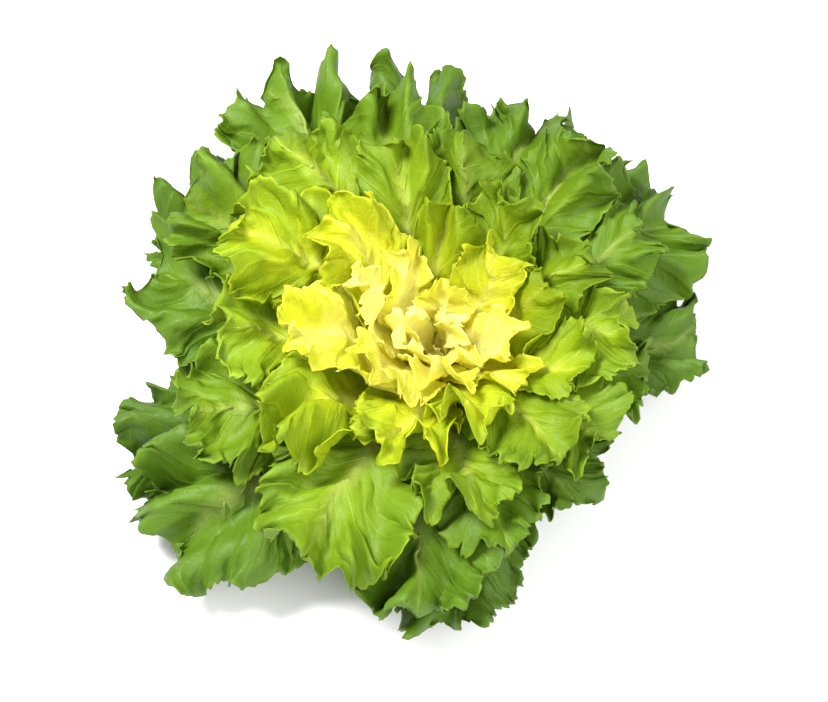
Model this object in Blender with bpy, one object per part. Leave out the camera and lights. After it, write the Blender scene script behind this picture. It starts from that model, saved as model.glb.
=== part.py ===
"""A head of escarole, open and standing on its cut stem. Metres, +Z up, origin on the cut face."""

import math

import bpy
import numpy as np

# Sizes of the head
LEAF_COUNT = 54
STEM_RADIUS = 0.024
STEM_CENTRE_HEIGHT = 0.014
CUT_RADIUS = 0.018
HEART_LENGTH = 0.048
OUTER_LENGTH = 0.148

# How far from upright a leaf leaves the stem, and how far its tip leans, in degrees
HEART_LAUNCH = 8.0
OUTER_LAUNCH = 76.0
HEART_TIP = 2.0
OUTER_TIP = 104.0
FRONT_DROOP = 14.0
SIDE_DROOP = 5.0
SKIRT_DROOP = 18.0
BACK_AZIMUTH = math.radians(110.0)

# How much further leaves reach on the long side of the head, and how much less where it is trimmed
LONG_SIDE = 0.17
LONG_AZIMUTH = math.radians(140.0)
TRIM = 0.34
TRIM_AZIMUTH = math.radians(-40.0)
TRIM_SPREAD = math.radians(38.0)

# Sheet thickness, and the clear space kept between one leaf and the next
BLADE_THICKNESS = 0.0008
RIB_THICKNESS = 0.0016
ROOT_GAP = 0.0005
LEAF_GAP = 0.0010
FLOOR_HEIGHT = 0.002
FLOOR_SOFTNESS = 0.008

# Spiral of the leaves round the stem
GOLDEN_ANGLE = math.radians(137.508)
FIRST_AZIMUTH = math.radians(20.0)
AZIMUTH_SPREAD = math.radians(6.0)
WIDEST_WRAP = math.radians(72.0)
SEED = 1

# Share of the margin that is the petiole's, and how square the end of a leaf is: lower is squarer
NECK_SHARE = 0.14
TIP_BLUNTNESS = 0.6

# Ruffles that run through neighbouring leaves: height, distance from one to the next, the share of
# a leaf's length at which they start, and how many go round the head at each radius
SHARED_HEIGHT = 0.0105
SHARED_WAVELENGTH = 0.029
SHARED_START = 0.45
SHARED_COUNTS = (3, 5, 8, 13, 20, 28, 38)

# Swells of the whole head
SWELL_HEIGHT = 0.004
SWELL_WAVELENGTH = 0.105

# Ruffles of one leaf: how far they fold over sideways, and how many spacings high they may be.
# The second angle, over a place's own angle from the midrib, is the limit beside other leaves.
FOLDING = 1.2
MOST_STEPS = 4.0
NEIGHBOUR_ANGLE = math.radians(75.0)

# Shares of the way out at which a leaf's mesh has its rows
FEW_ROWS = (0.0, 0.55, 1.0)
MORE_ROWS = (0.0, 0.42, 0.74, 1.0)
STEM_SIDES = 24

# Name, number of leaves, rays and rows of a leaf's mesh and colour, from the heart outwards
GROUPS = (
    ("heart_leaf", 14, 20, FEW_ROWS, (0.80, 0.72, 0.22)),
    ("inner_leaf", 12, 24, FEW_ROWS, (0.55, 0.62, 0.10)),
    ("middle_leaf", 14, 28, MORE_ROWS, (0.30, 0.48, 0.06)),
    ("outer_leaf", 14, 30, MORE_ROWS, (0.14, 0.30, 0.03)),
)


def between(low, high, share, power=1.0):
    return low + (high - low) * np.clip(share, 0.0, 1.0) ** power


def leaf_length(age):
    """Length of the surface that leaves of this age lie in. Age runs from 0 in the heart to 1 outside."""
    return between(HEART_LENGTH, OUTER_LENGTH, np.sin(math.pi / 2 * np.clip(age, 0.0, 1.0)))


def reach(azimuth):
    """Length of outer leaves by their side of the head, as a share of the usual."""
    off = (azimuth - TRIM_AZIMUTH + math.pi) % (2 * math.pi) - math.pi
    return 1.03 + LONG_SIDE * np.cos(azimuth - LONG_AZIMUTH) - TRIM * np.exp(-((off / TRIM_SPREAD) ** 4))


def launch_angle(age):
    return np.radians(between(HEART_LAUNCH, OUTER_LAUNCH, age, 0.85))


def tip_angle(age, azimuth):
    """Leaves at the back stand up, those in front hang over, and the outermost hang lowest."""
    droop = -FRONT_DROOP * np.cos(azimuth - BACK_AZIMUTH) + SIDE_DROOP * np.cos(3.0 * azimuth + 1.0)
    skirt = SKIRT_DROOP * np.clip(2.0 * age - 1.0, 0.0, 1.0) ** 2
    return np.radians(between(HEART_TIP, OUTER_TIP, age, 0.45) + skirt + droop * np.clip(age, 0.0, 1.0))


def slope(age, azimuth, along):
    """Angle from upright, at a distance along the surface."""
    share = along / leaf_length(age)
    launch = launch_angle(age)
    return launch + (tip_angle(age, azimuth) - launch) * np.clip(share, 0.0, 1.4) ** 1.5


GAUSS_POINTS, GAUSS_WEIGHTS = np.polynomial.legendre.leggauss(6)
GAUSS_POINTS = (GAUSS_POINTS + 1.0) / 2.0
GAUSS_WEIGHTS = GAUSS_WEIGHTS / 2.0


def shell_point(age, azimuth, along):
    """Radius and height of a point of the surface of this age, before any ruffle."""
    launch = launch_angle(age)
    radius = STEM_RADIUS * np.sin(launch)
    height = STEM_CENTRE_HEIGHT + STEM_RADIUS * np.cos(launch)
    for point, weight in zip(GAUSS_POINTS, GAUSS_WEIGHTS):
        angle = slope(age, azimuth, along * point)
        radius = radius + along * weight * np.sin(angle)
        height = height + along * weight * np.cos(angle)
    return radius, height


def above_floor(height):
    """Presses low leaves flat above the surface that the head stands on."""
    return FLOOR_HEIGHT + FLOOR_SOFTNESS * np.logaddexp(0.0, (height - FLOOR_HEIGHT) / FLOOR_SOFTNESS)


def eased(share):
    share = np.clip(share, 0.0, 1.0)
    return share * share * (3.0 - 2.0 * share)


def swell(first, second, draw_number):
    """Smooth hills and hollows over two coordinates, from about -1 to 1."""
    draw = np.random.default_rng(SEED * 100 + draw_number)
    total = 0.0
    for _ in range(4):
        turn = draw.uniform(0, 2 * math.pi)
        wavelength = SWELL_WAVELENGTH * draw.uniform(0.8, 1.5)
        run = (first * math.cos(turn) + second * math.sin(turn)) / wavelength
        total = total + np.sin(2 * math.pi * run + draw.uniform(0, 2 * math.pi))
    return total / 2.0


def swollen(x, y, z):
    """The whole head, pushed about by shears. What doesn't cross before doesn't cross after."""
    z = z + SWELL_HEIGHT * eased((np.hypot(x, y) - 0.03) / 0.05) * swell(x, y, 1)
    high = eased((z - 0.045) / 0.04)
    x = x + SWELL_HEIGHT * high * swell(y, z, 2)
    y = y + SWELL_HEIGHT * high * swell(x, z, 3)
    return x, y, z


def place(age, azimuth, along, lift):
    """A point of the head, lifted from the surface of its age towards the heart."""
    radius, height = shell_point(age, azimuth, along)
    angle = slope(age, azimuth, along)
    radius = radius - lift * np.cos(angle)
    x, y, z = swollen(radius * np.cos(azimuth), radius * np.sin(azimuth), height + lift * np.sin(angle))
    return np.stack([x, y, above_floor(z)], axis=-1)


def shared_ruffle(age, azimuth, along):
    """Lift of the ruffles that neighbouring leaves have together."""
    draw = np.random.default_rng(SEED)
    radius, _ = shell_point(age, azimuth, along)
    length = leaf_length(age)
    size = (length / OUTER_LENGTH) ** 0.6
    total = 0.0
    for count in SHARED_COUNTS:
        fitting = count * SHARED_WAVELENGTH * size / (2 * math.pi)
        weight = np.exp(-((np.log(np.maximum(radius, 0.004) / fitting) / 0.32) ** 2))
        rate = draw.choice((-1, 1)) * draw.uniform(0.12, 0.18)
        lean = draw.choice((-1, 1)) * draw.uniform(15.0, 50.0)
        phase = count * azimuth + rate * age * (LEAF_COUNT - 1) + lean * along + draw.uniform(0, 2 * math.pi)
        total = total + weight * np.sin(phase + 0.7 * np.sin(3 * azimuth + draw.uniform(0, 2 * math.pi)))
    return SHARED_HEIGHT * size * eased((along / length - SHARED_START) / (1.0 - SHARED_START)) * total


def spacing(age, azimuth, along):
    """Distance between one leaf and the next, as they are after the ruffles that they share."""
    step = 0.5 / (LEAF_COUNT - 1)
    inner_radius, inner_height = shell_point(age - step, azimuth, along)
    outer_radius, outer_height = shell_point(age + step, azimuth, along)
    angle = slope(age, azimuth, along)
    across = (outer_radius - inner_radius) * np.cos(angle) - (outer_height - inner_height) * np.sin(angle)
    closing = shared_ruffle(age + step, azimuth, along) - shared_ruffle(age - step, azimuth, along)
    return np.maximum(across - closing, 1e-5)


class Leaf:
    """One leaf: its place in the spiral, its outline and its ruffles."""

    def __init__(self, number):
        draw = np.random.default_rng(SEED * 1000 + number)
        self.age = number / (LEAF_COUNT - 1)
        self.azimuth = FIRST_AZIMUTH + number * GOLDEN_ANGLE + AZIMUTH_SPREAD * draw.uniform(-1, 1)
        self.length = leaf_length(self.age) * draw.uniform(0.86, 1.08)
        self.length *= between(1.0, reach(self.azimuth), self.age)
        self.width = self.length * between(0.26, 0.29, self.age) * draw.uniform(0.90, 1.10)
        self.root_width = between(0.004, 0.011, self.age)
        self.neck_width = between(0.003, 0.009, self.age)
        self.neck = 0.2 * self.length
        self.widest = draw.uniform(0.62, 0.74) * self.length
        self.sway = draw.uniform(-0.14, 0.14)
        self.waves = between(6.5, 11.0, self.age) * draw.uniform(0.9, 1.1)
        self.ruffling = draw.uniform(0.7, 1.2)
        self.wave_phase = draw.uniform(0, 2 * math.pi)
        self.drift = draw.uniform(0.3, 0.9, 3)
        self.drift_phase = draw.uniform(0, 2 * math.pi, 3)
        self.cup = draw.uniform(-0.45, 0.45)
        self.curl = draw.uniform(-0.5, 0.5)
        self.lobe_depth = self.length * draw.uniform(0.05, 0.09)
        self.lobe_phase = draw.uniform(0, 2 * math.pi)

    def half_width(self, along):
        """Half the blade's width at a distance from the root."""
        neck = between(self.root_width, self.neck_width, along / self.neck)
        reach = np.where(along > self.widest, self.length - self.widest, self.widest - self.neck)
        oval = np.sqrt(np.clip(1.0 - ((along - self.widest) / reach) ** 2, 0.0, 1.0))
        blade = self.width * oval ** np.where(along > self.widest, TIP_BLUNTNESS, 0.8)
        return np.where(along > self.neck, np.maximum(neck, blade), neck)

    def margin(self, turn):
        """Flat place of the margin (across, along). Turn runs from -1, left root, over 0, the tip, to 1."""
        side = np.sign(turn)
        share = 1.0 - np.abs(turn)
        petiole = share / NECK_SHARE
        swing = math.pi * np.clip((share - NECK_SHARE) / (1.0 - NECK_SHARE), 0.0, 1.0) - math.pi / 2
        reach = np.where(swing > 0, self.length - self.widest, self.widest - self.neck)
        blade_along = self.widest + reach * np.sin(swing)
        roundness = np.where(swing > 0, TIP_BLUNTNESS, 0.8)
        blade_across = self.neck_width * (1 - np.sin(swing)) / 2 + self.width * np.cos(swing) ** roundness
        along = np.where(share < NECK_SHARE, self.neck * petiole, blade_along)
        across = np.where(share < NECK_SHARE, between(self.root_width, self.neck_width, petiole), blade_across)
        return side * across, along

    def vein_start(self, turn):
        """How far up the midrib the side vein to this place of the margin leaves it."""
        share = 1.0 - np.abs(turn)
        petiole = self.neck * share / NECK_SHARE
        blade_share = np.clip((share - NECK_SHARE) / (1.0 - NECK_SHARE), 0.0, 1.0)
        blade = between(self.neck, 0.88 * self.length, blade_share, 1.6)
        return np.where(share < NECK_SHARE, petiole, blade)

    def wave(self, turn):
        """Where a place of the margin is in its ruffles, as an angle, and how strong they are."""
        blade = np.clip((1.0 - np.abs(turn) - NECK_SHARE) / 0.15, 0.0, 1.0)
        drift = sum(
            amount * np.sin((k + 1.3) * 2.1 * turn + phase)
            for k, (amount, phase) in enumerate(zip(self.drift, self.drift_phase))
        )
        return self.waves * math.pi * turn + self.wave_phase + drift, blade * self.ruffling

    def lobes(self, turn):
        """How far the margin is cut in."""
        wave, _ = self.wave(turn)
        share = 1.0 - np.abs(turn)
        blade = np.clip((share - NECK_SHARE) / 0.1, 0.0, 1.0)
        cut = 0.5 + 0.5 * np.sin(wave + self.lobe_phase)
        return blade * self.lobe_depth * cut ** 2

    def point(self, turn, out):
        """Place of a point of the leaf's middle sheet in the head."""
        wave, strength = self.wave(turn)
        fold = FOLDING * strength * out ** 2 * np.sin(2.0 * wave) / (2.0 * math.pi * self.waves)
        turn = np.clip(turn - fold, -1.0, 1.0)
        across, along = self.margin(turn)
        start = self.vein_start(turn)
        reach = np.hypot(across, along - start)
        cut = 1.0 - self.lobes(turn) / np.maximum(reach, 1e-4) * out ** 2
        across = across * out * cut
        along = start + (along - start) * out * cut
        age = np.full_like(across, self.age)
        radius, _ = shell_point(age, self.azimuth, along)
        radius = np.maximum(radius, 0.004)
        turned = WIDEST_WRAP * np.tanh(across / radius / WIDEST_WRAP)
        wrap = WIDEST_WRAP * np.tanh(self.half_width(0.88 * along) / radius / WIDEST_WRAP)
        azimuth = self.azimuth + turned + self.sway * (along / self.length) ** 2
        steps = np.minimum(MOST_STEPS, NEIGHBOUR_ANGLE / np.maximum(wrap + np.abs(turned), 0.05))
        apart = spacing(age, azimuth, along)
        room = np.maximum(steps * apart - BLADE_THICKNESS / 2 - LEAF_GAP, 0.0)
        share = along / self.length
        bend = self.cup * (out ** 2 - 0.3) * np.clip(share * 3 - 0.6, 0, 1) + self.curl * share ** 3 * 0.7
        own = room * np.tanh(1.5 * strength * out ** 1.2 * np.sin(wave) + bend)
        lift = shared_ruffle(age, azimuth, along) + own
        return place(age, azimuth, ROOT_GAP + along, lift)


def leaf_grid(rays, rows):
    """Turns and shares out for every vertex, and the triangles of one sheet, as vertex numbers."""
    half = rays // 2
    blade = 1.0 - NECK_SHARE
    turns = np.concatenate([[-1.0], np.linspace(-blade, blade, rays - 1), [1.0]])
    vertex, places = {}, []
    for row, out in enumerate(rows):
        for ray in range(rays + 1):
            if row == 0 and ray > half:
                vertex[ray, row] = vertex[rays - ray, row]
                continue
            vertex[ray, row] = len(places)
            places.append((turns[ray], out))
    triangles = []
    for ray in range(rays):
        for row in range(len(rows) - 1):
            a, b = vertex[ray, row], vertex[ray + 1, row]
            c, d = vertex[ray + 1, row + 1], vertex[ray, row + 1]
            quad = ((a, b, c), (a, c, d)) if ray < half else ((a, b, d), (b, c, d))
            triangles += [t for t in quad if len(set(t)) == 3]
    top = len(rows) - 1
    edge = [vertex[ray, top] for ray in range(rays + 1)]
    edge += [vertex[rays, row] for row in range(top - 1, -1, -1)]
    edge += [vertex[0, row] for row in range(1, top)]
    return np.array(places), np.array(triangles), edge


def sheet_normals(points, triangles):
    corners = points[triangles]
    faces = np.cross(corners[:, 1] - corners[:, 0], corners[:, 2] - corners[:, 0])
    normals = np.zeros_like(points)
    for corner in range(3):
        np.add.at(normals, triangles[:, corner], faces)
    return normals / np.maximum(np.linalg.norm(normals, axis=1, keepdims=True), 1e-12)


def leaf_mesh(leaf, rays, rows):
    """Points and triangles of a leaf as one closed thin solid."""
    places, triangles, edge = leaf_grid(rays, rows)
    points = leaf.point(places[:, 0], places[:, 1])
    normals = sheet_normals(points, triangles)
    share = 1.0 - np.abs(places[:, 0])
    rib = np.clip(1.0 - places[:, 1] / 0.25, 0.0, 1.0) * (1.0 - 0.75 * share)
    half = (BLADE_THICKNESS + (RIB_THICKNESS - BLADE_THICKNESS) * rib)[:, None] / 2
    count = len(points)
    shell = np.concatenate([points + normals * half, points - normals * half])
    faces = [tuple(t) for t in triangles]
    faces += [(c + count, b + count, a + count) for a, b, c in triangles]
    for a, b in zip(edge, edge[1:] + edge[:1]):
        faces += [(a, b, b + count), (a, b + count, a + count)]
    return shell, faces


def stem_profile():
    """Radius and height of the stem from the middle of the cut face to the growing point at the top."""
    dome = np.radians(np.linspace(100.0, 0.0, 9))
    radius = STEM_RADIUS * np.sin(dome)
    height = above_floor(STEM_CENTRE_HEIGHT + STEM_RADIUS * np.cos(dome))
    cut = [(0.0, 0.0), (CUT_RADIUS - 0.001, 0.0), (CUT_RADIUS, 0.001)]
    return cut + list(zip(radius, height))


def stem_mesh():
    profile = stem_profile()
    points, rings = [], []
    for radius, height in profile:
        if radius < 1e-6:
            rings.append([len(points)] * STEM_SIDES)
            points.append((0.0, 0.0, height))
            continue
        rings.append(list(range(len(points), len(points) + STEM_SIDES)))
        for side in range(STEM_SIDES):
            angle = 2 * math.pi * side / STEM_SIDES
            points.append((radius * math.cos(angle), radius * math.sin(angle), height))
    faces = []
    for low, high in zip(rings, rings[1:]):
        for side in range(STEM_SIDES):
            after = (side + 1) % STEM_SIDES
            quad = (low[side], low[after], high[after], high[side])
            faces.append(tuple(dict.fromkeys(quad)))
    return points, faces


def finish(name, colour, roughness):
    material = bpy.data.materials.new(name)
    material.use_nodes = True
    shader = material.node_tree.nodes["Principled BSDF"]
    shader.inputs["Base Color"].default_value = (*colour, 1.0)
    shader.inputs["Roughness"].default_value = roughness
    return material


def add_object(name, points, faces, material):
    mesh = bpy.data.meshes.new(name)
    mesh.from_pydata([tuple(p) for p in points], [], faces)
    mesh.shade_smooth()
    mesh.materials.append(material)
    made = bpy.data.objects.new(name, mesh)
    bpy.context.scene.collection.objects.link(made)
    return made


def add_leaves():
    """Leaves from the heart outwards, in four groups by colour."""
    number = 0
    for group, count, rays, rows, colour in GROUPS:
        material = finish(group, colour, 0.45)
        for k in range(count):
            points, faces = leaf_mesh(Leaf(number), rays, rows)
            add_object(f"{group}_{k + 1:02d}", points, faces, material)
            number += 1


def main():
    for obj in list(bpy.data.objects):
        bpy.data.objects.remove(obj)
    points, faces = stem_mesh()
    add_object("stem", points, faces, finish("stem", (0.80, 0.78, 0.60), 0.5))
    add_leaves()


if __name__ == "__main__":
    main()
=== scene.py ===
"""Finishes the head of escarole: fine toothed leaves with veins, the cut stem, the stage and camera."""

import math

import bpy
import numpy as np
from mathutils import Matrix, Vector


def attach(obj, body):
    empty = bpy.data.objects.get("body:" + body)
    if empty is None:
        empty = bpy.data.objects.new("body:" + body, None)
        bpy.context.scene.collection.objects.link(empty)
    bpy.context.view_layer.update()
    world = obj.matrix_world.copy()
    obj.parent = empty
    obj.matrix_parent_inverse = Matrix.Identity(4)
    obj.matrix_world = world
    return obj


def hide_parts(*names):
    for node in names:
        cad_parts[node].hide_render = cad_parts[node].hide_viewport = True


bl_info = {
    "name": "Head of Escarole",
    "version": (1, 0, 0),
    "blender": (4, 5, 0),
    "location": "View3D > Sidebar > Escarole",
    "description": "Fine leaves, stem and stage for a head of escarole",
    "category": "Object",
}

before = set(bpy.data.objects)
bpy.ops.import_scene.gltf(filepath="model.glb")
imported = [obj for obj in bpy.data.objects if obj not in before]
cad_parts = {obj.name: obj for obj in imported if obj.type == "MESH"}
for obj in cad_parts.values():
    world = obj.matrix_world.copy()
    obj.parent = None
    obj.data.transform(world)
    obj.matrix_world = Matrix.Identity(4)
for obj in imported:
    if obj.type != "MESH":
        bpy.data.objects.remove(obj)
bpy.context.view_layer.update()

# Sizes of the head, as in the solids
LEAF_COUNT = 54
STEM_RADIUS = 0.024
STEM_CENTRE_HEIGHT = 0.014
HEART_LENGTH = 0.048
OUTER_LENGTH = 0.148
HEART_LAUNCH = 8.0
OUTER_LAUNCH = 76.0
HEART_TIP = 2.0
OUTER_TIP = 104.0
FRONT_DROOP = 14.0
SIDE_DROOP = 5.0
SKIRT_DROOP = 18.0
BACK_AZIMUTH = math.radians(110.0)
LONG_SIDE = 0.17
LONG_AZIMUTH = math.radians(140.0)
TRIM = 0.34
TRIM_AZIMUTH = math.radians(-40.0)
TRIM_SPREAD = math.radians(38.0)
SOLID_THICKNESS = 0.0008
ROOT_GAP = 0.0005
LEAF_GAP = 0.0010
FLOOR_HEIGHT = 0.002
FLOOR_SOFTNESS = 0.008
GOLDEN_ANGLE = math.radians(137.508)
FIRST_AZIMUTH = math.radians(20.0)
AZIMUTH_SPREAD = math.radians(6.0)
WIDEST_WRAP = math.radians(72.0)
SEED = 1
NECK_SHARE = 0.14
TIP_BLUNTNESS = 0.6
SHARED_HEIGHT = 0.0105
SHARED_WAVELENGTH = 0.029
SHARED_START = 0.45
SHARED_COUNTS = (3, 5, 8, 13, 20, 28, 38)
SWELL_HEIGHT = 0.004
SWELL_WAVELENGTH = 0.105
FOLDING = 1.2
LAST_VEIN = 0.88
MOST_STEPS = 4.0
NEIGHBOUR_ANGLE = math.radians(75.0)
SMALLEST_RADIUS = 0.004

# Shapes that only the fine leaves have
FINE_SEED = 9000
TOOTH_SIZES = 512
SMALL_WAVES = 2.3
SMALL_FOLDING = 0.5
DEEPEST_LOBE = 0.30
DEEPEST_TOOTH = 0.20
TIP_CUT = 0.42
TIP_CUT_SPREAD = 0.06
SHORTEST_VEIN = 0.0001
PETIOLE_RAYS = 4
ROW_CROWDING = 1.35
NOISE_GAIN = 4.0
MERGE_DISTANCE = 0.000002
MIDRIB_RADIUS = 0.0026
MIDRIB_TIP_RADIUS = 0.0004
SIDE_RIB_RADIUS = 0.0006
SUNK_SHARE = 0.85
RIB_SIDES = {"midrib_edge": 8, "vein_edge": 5}

# How fine the patterns of the finishes are
PATCH_SCALE = 55.0
SMALL_PATCH_SCALE = 260.0
VEIN_NET_SCALE = 420.0
SKIN_GRAIN_SCALE = 900.0
STEM_GRAIN_SCALE = 240.0
STEM_RING_RATE = 2600.0
STEM_BUNDLE_SCALE = 520.0

# The stage
FLOOR_EDGE = 4.0
TARGET = (-0.012, -0.003, 0.05)
KEY_SPOT, KEY_SIZE = (-0.55, 0.10, 1.15), 0.40
FILL_SPOT, FILL_SIZE = (0.75, -0.6, 1.0), 1.2
SENSOR_WIDTH = 36.0

# Name, number of leaves, rays and rows of a fine leaf's sheet, side veins each side, light let through
GROUPS = {
    "heart_leaf": (14, 224, 9, 7, 0.60),
    "inner_leaf": (12, 304, 10, 8, 0.42),
    "middle_leaf": (14, 384, 10, 8, 0.30),
    "outer_leaf": (14, 416, 10, 8, 0.24),
}


def between(low, high, share, power=1.0):
    return low + (high - low) * np.clip(share, 0.0, 1.0) ** power


def leaf_length(age):
    """Length of the surface that leaves of this age lie in. Age runs from 0 in the heart to 1 outside."""
    return between(HEART_LENGTH, OUTER_LENGTH, np.sin(math.pi / 2 * np.clip(age, 0.0, 1.0)))


def reach(azimuth):
    """Length of outer leaves by their side of the head, as a share of the usual."""
    off = (azimuth - TRIM_AZIMUTH + math.pi) % (2 * math.pi) - math.pi
    return 1.03 + LONG_SIDE * np.cos(azimuth - LONG_AZIMUTH) - TRIM * np.exp(-((off / TRIM_SPREAD) ** 4))


def launch_angle(age):
    return np.radians(between(HEART_LAUNCH, OUTER_LAUNCH, age, 0.85))


def tip_angle(age, azimuth):
    """Leaves at the back stand up, those in front hang over, and the outermost hang lowest."""
    droop = -FRONT_DROOP * np.cos(azimuth - BACK_AZIMUTH) + SIDE_DROOP * np.cos(3.0 * azimuth + 1.0)
    skirt = SKIRT_DROOP * np.clip(2.0 * age - 1.0, 0.0, 1.0) ** 2
    return np.radians(between(HEART_TIP, OUTER_TIP, age, 0.45) + skirt + droop * np.clip(age, 0.0, 1.0))


def slope(age, azimuth, along):
    """Angle from upright, at a distance along the surface."""
    share = along / leaf_length(age)
    launch = launch_angle(age)
    return launch + (tip_angle(age, azimuth) - launch) * np.clip(share, 0.0, 1.4) ** 1.5


GAUSS_POINTS, GAUSS_WEIGHTS = np.polynomial.legendre.leggauss(6)
GAUSS_POINTS = (GAUSS_POINTS + 1.0) / 2.0
GAUSS_WEIGHTS = GAUSS_WEIGHTS / 2.0


def shell_point(age, azimuth, along):
    """Radius and height of a point of the surface of this age, before any ruffle."""
    launch = launch_angle(age)
    radius = STEM_RADIUS * np.sin(launch)
    height = STEM_CENTRE_HEIGHT + STEM_RADIUS * np.cos(launch)
    for point, weight in zip(GAUSS_POINTS, GAUSS_WEIGHTS):
        angle = slope(age, azimuth, along * point)
        radius = radius + along * weight * np.sin(angle)
        height = height + along * weight * np.cos(angle)
    return radius, height


def above_floor(height):
    """Presses low leaves flat above the surface that the head stands on."""
    return FLOOR_HEIGHT + FLOOR_SOFTNESS * np.logaddexp(0.0, (height - FLOOR_HEIGHT) / FLOOR_SOFTNESS)


def eased(share):
    share = np.clip(share, 0.0, 1.0)
    return share * share * (3.0 - 2.0 * share)


def swell(first, second, draw_number):
    """Smooth hills and hollows over two coordinates, from about -1 to 1."""
    draw = np.random.default_rng(SEED * 100 + draw_number)
    total = 0.0
    for _ in range(4):
        turn = draw.uniform(0, 2 * math.pi)
        wavelength = SWELL_WAVELENGTH * draw.uniform(0.8, 1.5)
        run = (first * math.cos(turn) + second * math.sin(turn)) / wavelength
        total = total + np.sin(2 * math.pi * run + draw.uniform(0, 2 * math.pi))
    return total / 2.0


def swollen(x, y, z):
    """The whole head, pushed about by shears. What doesn't cross before doesn't cross after."""
    z = z + SWELL_HEIGHT * eased((np.hypot(x, y) - 0.03) / 0.05) * swell(x, y, 1)
    high = eased((z - 0.045) / 0.04)
    x = x + SWELL_HEIGHT * high * swell(y, z, 2)
    y = y + SWELL_HEIGHT * high * swell(x, z, 3)
    return x, y, z


def place(age, azimuth, along, lift):
    """A point of the head, lifted from the surface of its age towards the heart."""
    radius, height = shell_point(age, azimuth, along)
    angle = slope(age, azimuth, along)
    radius = radius - lift * np.cos(angle)
    x, y, z = swollen(radius * np.cos(azimuth), radius * np.sin(azimuth), height + lift * np.sin(angle))
    return np.stack([x, y, above_floor(z)], axis=-1)


def shared_ruffle(age, azimuth, along):
    """Lift of the ruffles that neighbouring leaves have together."""
    draw = np.random.default_rng(SEED)
    radius, _ = shell_point(age, azimuth, along)
    length = leaf_length(age)
    size = (length / OUTER_LENGTH) ** 0.6
    total = 0.0
    for count in SHARED_COUNTS:
        fitting = count * SHARED_WAVELENGTH * size / (2 * math.pi)
        weight = np.exp(-((np.log(np.maximum(radius, SMALLEST_RADIUS) / fitting) / 0.32) ** 2))
        rate = draw.choice((-1, 1)) * draw.uniform(0.12, 0.18)
        lean = draw.choice((-1, 1)) * draw.uniform(15.0, 50.0)
        phase = count * azimuth + rate * age * (LEAF_COUNT - 1) + lean * along + draw.uniform(0, 2 * math.pi)
        total = total + weight * np.sin(phase + 0.7 * np.sin(3 * azimuth + draw.uniform(0, 2 * math.pi)))
    return SHARED_HEIGHT * size * eased((along / length - SHARED_START) / (1.0 - SHARED_START)) * total


def spacing(age, azimuth, along):
    """Distance between one leaf and the next, as they are after the ruffles that they share."""
    step = 0.5 / (LEAF_COUNT - 1)
    inner_radius, inner_height = shell_point(age - step, azimuth, along)
    outer_radius, outer_height = shell_point(age + step, azimuth, along)
    angle = slope(age, azimuth, along)
    across = (outer_radius - inner_radius) * np.cos(angle) - (outer_height - inner_height) * np.sin(angle)
    closing = shared_ruffle(age + step, azimuth, along) - shared_ruffle(age - step, azimuth, along)
    return np.maximum(across - closing, 1e-5)


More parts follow.
